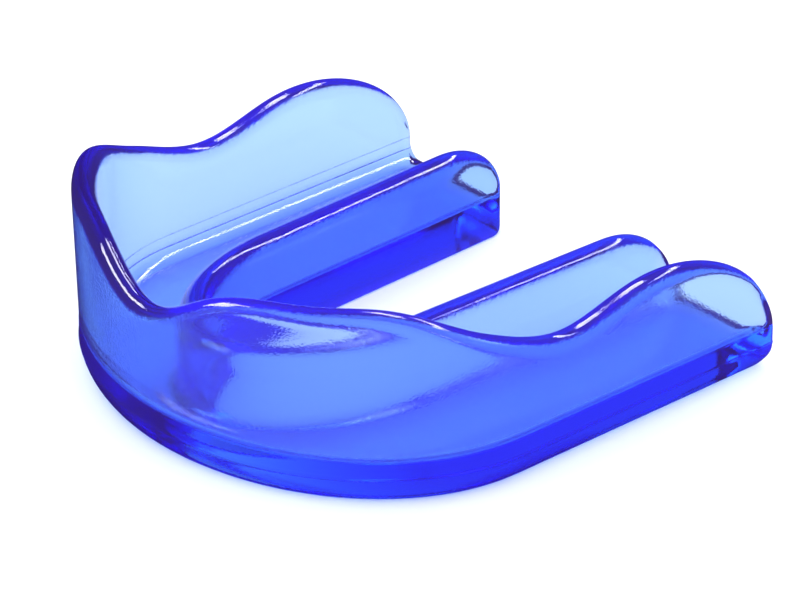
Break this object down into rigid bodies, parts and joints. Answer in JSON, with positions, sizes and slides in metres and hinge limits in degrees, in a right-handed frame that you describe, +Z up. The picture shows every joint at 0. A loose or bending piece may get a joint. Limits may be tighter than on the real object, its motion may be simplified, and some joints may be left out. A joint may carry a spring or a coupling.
{
  "type": "boil-and-bite mouth guard",
  "caption": "U-shaped clear blue mouth guard: a flat biting floor between a tall waved lip-and-cheek wall and a low level tongue-side wall, open at both rear ends.",
  "frame": {"origin": "under the middle of the guard, on the flat that it stands on", "axes": "+X across the mouth, +Y back towards the molars and the open ends, +Z up towards the gum"},
  "size_m": [0.062, 0.0644, 0.0233],
  "materials": {
    "clear_blue_eva": "transparent blue ethylene-vinyl acetate, moulded to a gloss"
  },
  "bodies": {
    "root": {"bite_base": "clear_blue_eva", "outer_flange": "clear_blue_eva", "inner_flange": "clear_blue_eva"}
  },
  "joints": []
}
